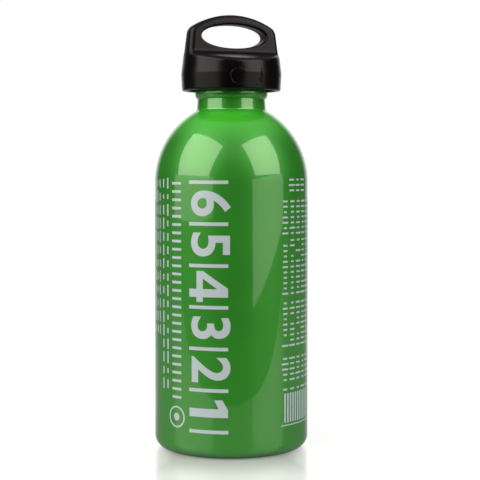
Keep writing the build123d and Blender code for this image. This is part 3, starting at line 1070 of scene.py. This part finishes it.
def print_blocks(sizes, pitch):
    """The printed blocks: the scale's rules, its ladder, the upright lines, and the label with its stripes."""
    rule, gap, dash = sizes.rule_height, sizes.rule_pitch, 4.9 * MM
    scale = math.degrees(sizes.scale_azimuth)
    blocks = [
        rules(WHOLE, scale, sizes.scale_low / MM, 1.6 * MM, 7, pitch, 8, sizes.scale_width / 8),
        rules(WHOLE, -63.0, 27.6, 1.2 * MM, 27, 3.78 * MM, 1, 5.9 * MM),
        rules(UNEVEN, -72.9, 79.4, 1.1 * MM, 2, 3.7 * MM, 16, 6.2 * MM, 90.0),
        rules(UNEVEN, -84.9, 91.6, 0.95 * MM, 3, 3.0 * MM, 12, 6.2 * MM, 90.0),
        rules(UNEVEN, 38.0, 122.6, rule, 3, gap, 3, dash),
    ]
    paragraphs = ((102.9, 7), (75.2, 11), (51.2, 9), (35.4, 5), (31.0, 1))
    blocks += [rules(UNEVEN, 42.6, foot, rule, lines, gap, 6, dash) for foot, lines in paragraphs]
    blocks.append(rules(WHOLE, 62.0, 22.4, 1.0 * MM, 14, 1.9 * MM, 1, 13.6 * MM, 90.0))
    blocks.append(rules(WHOLE, 42.6, 14.4, 0.5 * MM, 1, gap, 6, dash))
    return blocks


class FUELBOTTLE_OT_print(bpy.types.Operator):
    """Prints the level scale and the plain rules on the body"""

    bl_idname = "fuelbottle.print_body"
    bl_label = "Body Print"

    def execute(self, context):
        shell = context.scene.fuel_bottle_shell
        sizes = context.scene.fuel_bottle_print
        ink = finish_of(silver_ink, context.scene.fuel_bottle_colours)
        around = {
            "Body Radius": shell.lacquer_radius, "Shoulder Radius": shell.shoulder_radius,
            "Shoulder Level": shell.shoulder_level, "Material": ink,
        }
        low, high = -sizes.ink_sink, sizes.ink_lift
        numerals = ("1", "2", "3", "4", "5", "6")
        pitch = (sizes.scale_high - sizes.scale_low) / len(numerals)
        flats = []
        for index, text in enumerate(numerals):
            numeral = flat_numeral(text, sizes.numeral_height, low, high)
            level = Matrix.Translation((0.0, sizes.scale_low + (index + 0.5) * pitch, 0.0))
            numeral.transform(level @ Matrix.Rotation(math.radians(-90.0), 4, "Z"))
            flats.append((sizes.scale_azimuth, numeral))
        dot = (0.0, sizes.dot_level)
        ring = [circle_loop(dot, radius) for radius in (sizes.ring_radius, sizes.ring_radius - sizes.ring_line)]
        for loops in (ring, [circle_loop(dot, sizes.dot_radius)]):
            flats.append((sizes.dot_azimuth, flat_shape(loops, low, high)))
        meshes = [grown(wrapped_ink, {**around, "Direction": azimuth}, cut_fine(flat)) for azimuth, flat in flats]
        for index, rows in enumerate(print_blocks(sizes, pitch)):
            lift = {"Ink Lift": sizes.ink_lift, "Ink Sink": sizes.ink_sink, "Seed": sizes.seed + index}
            meshes.append(grown(broken_rules, {**around, **rows, **lift}))
        joined_print = joined("body_print", meshes, [ink])
        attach(joined_print, "bottle")
        return {"FINISHED"}


# Half the angle that the turning arrow leaves open, in degrees.
TURN_MARK_GAP = 50.0


def cap_marks(sizes):
    """The marks on the cap as directions and outlines: a turning arrow, and an arrow that pushes on a bar."""
    middle, line, reach = sizes.mark_level, sizes.line_width, sizes.mark_size / 2
    head = [(-1.6 * line, 0.0), (1.6 * line, 0.0), (0.0, -2.8 * line)]
    start, end = TURN_MARK_GAP, 360.0 - TURN_MARK_GAP
    band = arc((0.0, middle), reach, start, end, 40) + arc((0.0, middle), reach - line, end, start, 40)
    tip_x, tip_y = arc((0.0, middle), reach - line / 2, start, end, 1)[0]
    return [
        (sizes.turn_azimuth, band),
        (sizes.turn_azimuth, [(tip_x + x * 0.7 - y * 0.7, tip_y + x * 0.7 + y * 0.7) for x, y in head]),
        (sizes.push_azimuth, box_loop((0.0, middle + 0.35 * reach), line, 1.3 * reach)),
        (sizes.push_azimuth, [(x, middle - 0.25 * reach + y) for x, y in head]),
        (sizes.push_azimuth, box_loop((0.0, middle - reach + line / 2), 1.5 * reach, line)),
    ]


class FUELBOTTLE_OT_marks(bpy.types.Operator):
    """Moulds two plain raised marks on the cap's skirt: a turning arrow and a pushing arrow"""

    bl_idname = "fuelbottle.mould_marks"
    bl_label = "Cap Marks"

    def execute(self, context):
        sizes = context.scene.fuel_bottle_marks
        black = finish_of(moulded_black_plastic, context.scene.fuel_bottle_colours)
        around = {
            "Crease Radius": sizes.crease_radius, "Crease Level": sizes.crease_level,
            "Upper Slope": sizes.upper_slope, "Lower Slope": sizes.lower_slope, "Material": black,
        }
        meshes = []
        for azimuth, loop in cap_marks(sizes):
            flat = cut_fine(flat_shape([loop], -sizes.sunk, sizes.raised, sizes.rounding))
            flat = cut_fine(flat, axis=1)
            meshes.append(grown(raised_marks, {**around, "Direction": azimuth}, flat))
        piece = joined("cap_marks", meshes, [black])
        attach(piece, "cap")
        return {"FINISHED"}


# The soft boxes, seen from this point on the axis: the setting that holds their radiance, direction and elevation
# from the camera's side in degrees, distance, width and height in metres, and roll in degrees.
LIT_POINT = Vector((0.0, 0.0, 0.13))
SOFT_BOXES = {
    "left_soft_box": ("box_level", -59.0, 33.0, 0.75, 0.80, 0.70, 0.0),
    "right_soft_box": ("box_level", 56.0, 33.0, 0.80, 0.66, 0.70, 0.0),
    "left_lower_box": ("skirt_level", -59.0, 2.0, 0.75, 0.95, 0.16, 0.0),
    "right_lower_box": ("skirt_level", 56.0, 0.0, 0.80, 0.76, 0.215, 7.0),
}


class FUELBOTTLE_OT_studio(bpy.types.Operator):
    """Sets up the floor, the soft boxes, the surroundings and the camera"""

    bl_idname = "fuelbottle.set_studio"
    bl_label = "Studio"

    def execute(self, context):
        studio = context.scene.fuel_bottle_studio
        sine, cosine = math.sin(studio.camera_azimuth), math.cos(studio.camera_azimuth)
        facing, right = Vector((sine, -cosine, 0.0)), Vector((cosine, sine, 0.0))
        lay_floor(studio, context.scene.fuel_bottle_colours, facing, right)
        for name in SOFT_BOXES:
            hang_soft_box(name, studio, facing, right)
        light_surroundings(studio, facing)
        set_camera(context.scene, studio, facing)
        context.scene.view_settings.view_transform = "Standard"
        return {"FINISHED"}


def lay_floor(studio, colours, facing, right):
    """A large thin floor sheet whose front edge lies just before the bottle."""
    front, back, side = facing * studio.floor_front, facing * -studio.floor_reach, right * studio.floor_reach
    top = [front + side, back + side, back - side, front - side]
    drop = Vector((0.0, 0.0, studio.floor_thickness))
    shape = block(top, [place - drop for place in top])
    bmesh.ops.recalc_face_normals(shape, faces=shape.faces)
    floor = placed("studio_floor", shape, [finish_of(studio_floor, colours, studio, right)])


def hang_soft_box(name, studio, facing, right):
    level, azimuth, elevation, distance, width, height, roll = SOFT_BOXES[name]
    around, up = math.radians(azimuth), math.radians(elevation)
    ahead, beside = math.cos(around) * math.cos(up), math.sin(around) * math.cos(up)
    away = facing * ahead + right * beside + Vector((0.0, 0.0, math.sin(up)))
    data = bpy.data.lights.new(name, "AREA")
    data.shape = "RECTANGLE"
    data.size, data.size_y = width, height
    data.energy = getattr(studio, level) * math.pi * width * height
    data.color = studio.box_tint
    lamp = bpy.data.objects.new(name, data)
    lamp.location = LIT_POINT + away * distance
    lamp.rotation_mode = "QUATERNION"
    rolled = Matrix.Rotation(math.radians(roll), 3, "Z").to_quaternion()
    lamp.rotation_quaternion = (-away).to_track_quat("-Z", "Y") @ rolled
    bpy.context.scene.collection.objects.link(lamp)


def light_surroundings(studio, facing):
    """A white backdrop, a bright ceiling and a dark room behind the camera; the camera sees white all round."""
    world = bpy.data.worlds.new("studio_surroundings")
    bpy.context.scene.world = world
    world.use_nodes = True
    tree = world.node_tree
    tree.nodes.clear()
    direction = wire(tree, "ShaderNodeTexCoord", output="Generated")
    ahead = {0: direction, 1: tuple(-facing)}
    towards = wire(tree, "ShaderNodeVectorMath", ahead, output="Value", operation="DOT_PRODUCT")
    backdrop = ramp(towards, 0.76, 0.96, studio.front_level, 1.0)
    ceiling = ramp(split(direction)[2], 0.35, 1.0, 0.0, studio.top_level)
    level = ray(tree, "Is Camera Ray").math("MAXIMUM", backdrop.math("MAXIMUM", ceiling))
    glow = wire(tree, "ShaderNodeBackground", {"Color": (1.0, 1.0, 1.0, 1.0), "Strength": level})
    put(tree, "ShaderNodeOutputWorld", {"Surface": glow})


def set_camera(scene, studio, facing):
    data = bpy.data.cameras.new("camera")
    data.lens = studio.lens
    data.sensor_width = 36.0
    data.shift_y = studio.shift_y
    data.clip_start, data.clip_end = 0.05, 50.0
    camera = bpy.data.objects.new("camera", data)
    camera.location = facing * studio.camera_distance + Vector((0.0, 0.0, studio.camera_level))
    panned = Matrix.Rotation(studio.camera_azimuth - studio.camera_yaw, 3, "Z")
    level = panned @ Matrix.Rotation(math.radians(90.0), 3, "X")
    camera.rotation_mode = "QUATERNION"
    camera.rotation_quaternion = (level @ Matrix.Rotation(-studio.camera_tilt, 3, "X")).to_quaternion()
    scene.collection.objects.link(camera)
    scene.camera = camera


OPERATORS = (
    FUELBOTTLE_OT_shell,
    FUELBOTTLE_OT_insert,
    FUELBOTTLE_OT_gasket,
    FUELBOTTLE_OT_plug,
    FUELBOTTLE_OT_spring,
    FUELBOTTLE_OT_cap,
    FUELBOTTLE_OT_print,
    FUELBOTTLE_OT_marks,
    FUELBOTTLE_OT_studio,
)


class FUELBOTTLE_PT_parts(bpy.types.Panel):
    """Lists the bottle's pieces, sizes and colours"""

    bl_idname = "FUELBOTTLE_PT_parts"
    bl_label = "Fuel Bottle"
    bl_space_type = "VIEW_3D"
    bl_region_type = "UI"
    bl_category = "Fuel Bottle"

    def draw(self, context):
        for operator in OPERATORS:
            self.layout.operator(operator.bl_idname, text=operator.bl_label)
        for label, group in GROUPS.items():
            box = self.layout.box()
            box.label(text=label.replace("_", " ").title())
            for field in group.__annotations__:
                box.prop(getattr(context.scene, label), field)


def register():
    for label, group in GROUPS.items():
        bpy.utils.register_class(group)
        setattr(bpy.types.Scene, label, PointerProperty(type=group))
    for operator in OPERATORS:
        bpy.utils.register_class(operator)
    bpy.utils.register_class(FUELBOTTLE_PT_parts)


def unregister():
    bpy.utils.unregister_class(FUELBOTTLE_PT_parts)
    for operator in reversed(OPERATORS):
        bpy.utils.unregister_class(operator)
    for label, group in reversed(GROUPS.items()):
        delattr(bpy.types.Scene, label)
        bpy.utils.unregister_class(group)


def main():
    register()
    bpy.ops.fuelbottle.make_shell()
    bpy.ops.fuelbottle.make_insert()
    bpy.ops.fuelbottle.dress_gasket()
    bpy.ops.fuelbottle.make_plug()
    bpy.ops.fuelbottle.make_spring()
    bpy.ops.fuelbottle.dress_cap()
    bpy.ops.fuelbottle.print_body()
    bpy.ops.fuelbottle.mould_marks()
    bpy.ops.fuelbottle.set_studio()
    bpy.context.view_layer.update()


if __name__ == "__main__":
    main()
